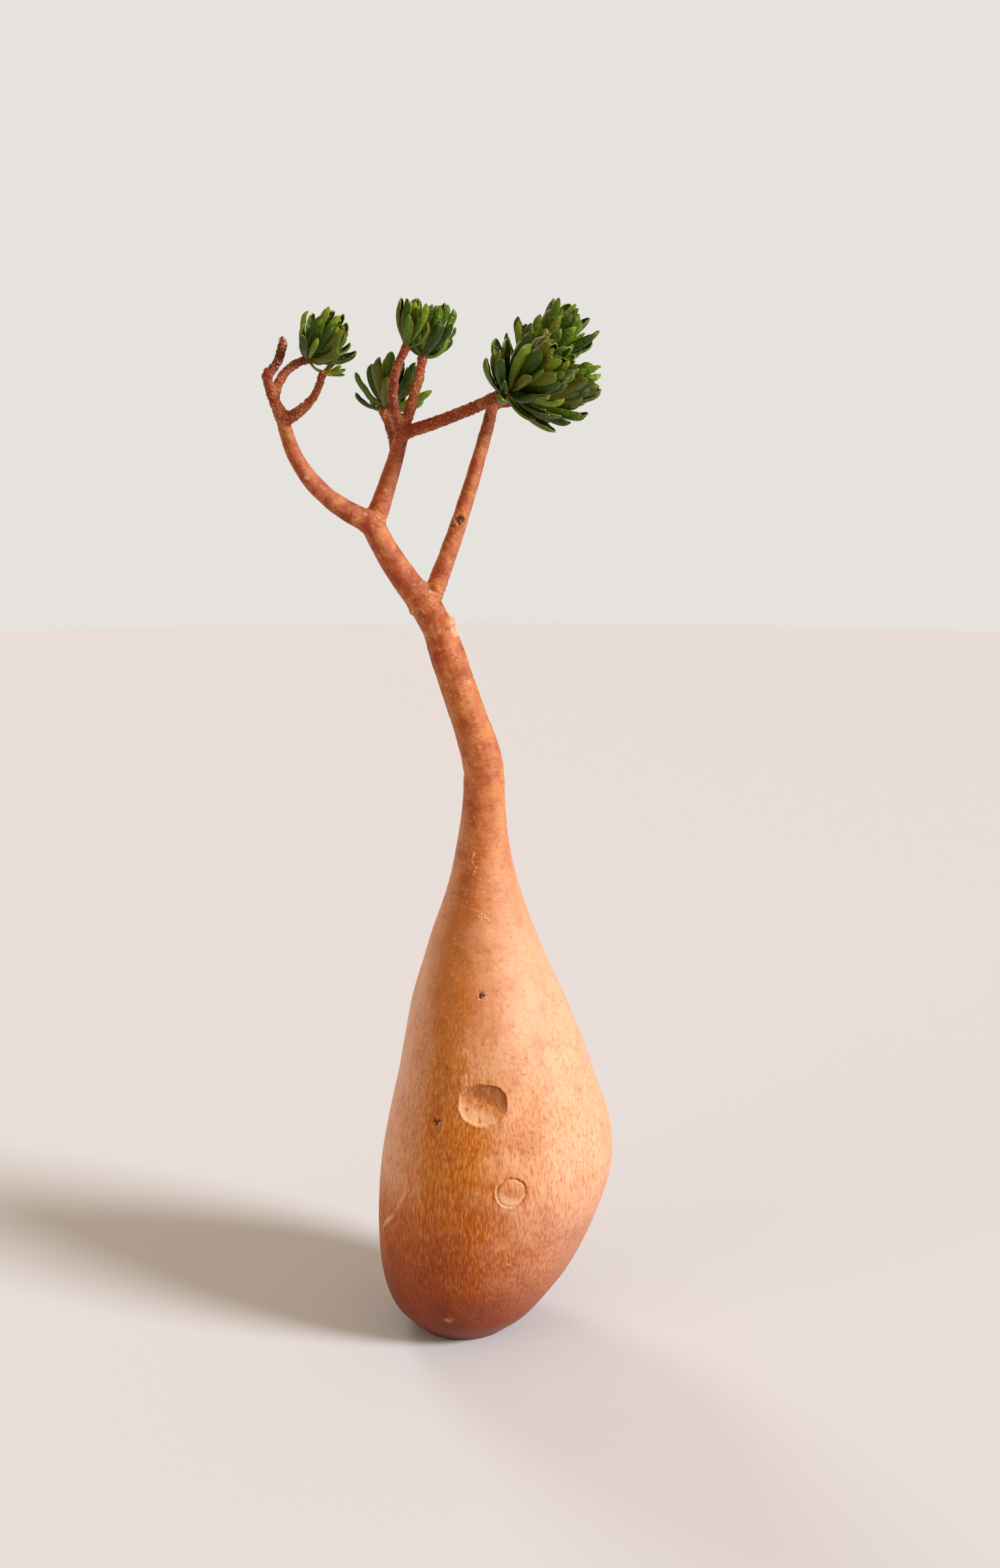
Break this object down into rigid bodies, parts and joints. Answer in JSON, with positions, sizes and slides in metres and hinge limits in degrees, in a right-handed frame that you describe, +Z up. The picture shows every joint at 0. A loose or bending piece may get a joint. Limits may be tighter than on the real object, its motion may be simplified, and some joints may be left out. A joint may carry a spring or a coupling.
{
  "type": "bottle tree",
  "caption": "Swollen bottle-shaped trunk from a flat ground cut to a leaning neck, forking into bare tapering limbs that end in tufts of thick channelled leaves.",
  "frame": {"origin": "middle of the flat cut under the trunk, at ground level", "axes": "+Z up, +X to the right and -Y towards the viewer of the picture, so +Y is the tree's far side"},
  "size_m": [0.674, 0.4805, 2.1035],
  "materials": {
    "trunk_bark": "thin smooth papery bark, golden tan over orange brown, satin",
    "limb_bark": "reddish orange bark with fine rings across, satin",
    "twig_bark": "reddish brown bark, bumpy with leaf scars, matt",
    "leaf": "thick dark green leaf, waxy gloss above, olive below"
  },
  "bodies": {
    "root": {"trunk": "trunk_bark", "left_bough": "limb_bark", "left_limb": "limb_bark", "middle_limb": "limb_bark", "right_bough": "limb_bark", "cross_limb": "limb_bark", "middle_left_twig": "twig_bark", "middle_right_twig": "twig_bark", "back_twig": "twig_bark", "left_twig": "twig_bark", "left_bare_twig": "twig_bark", "left_leafy_twig": "twig_bark", "left_low_twig": "twig_bark", "right_front_leaves": "leaf", "right_leaves": "leaf", "middle_left_leaves": "leaf", "middle_right_leaves": "leaf", "left_leaves": "leaf", "left_low_leaves": "leaf", "back_leaves": "leaf"}
  },
  "joints": []
}
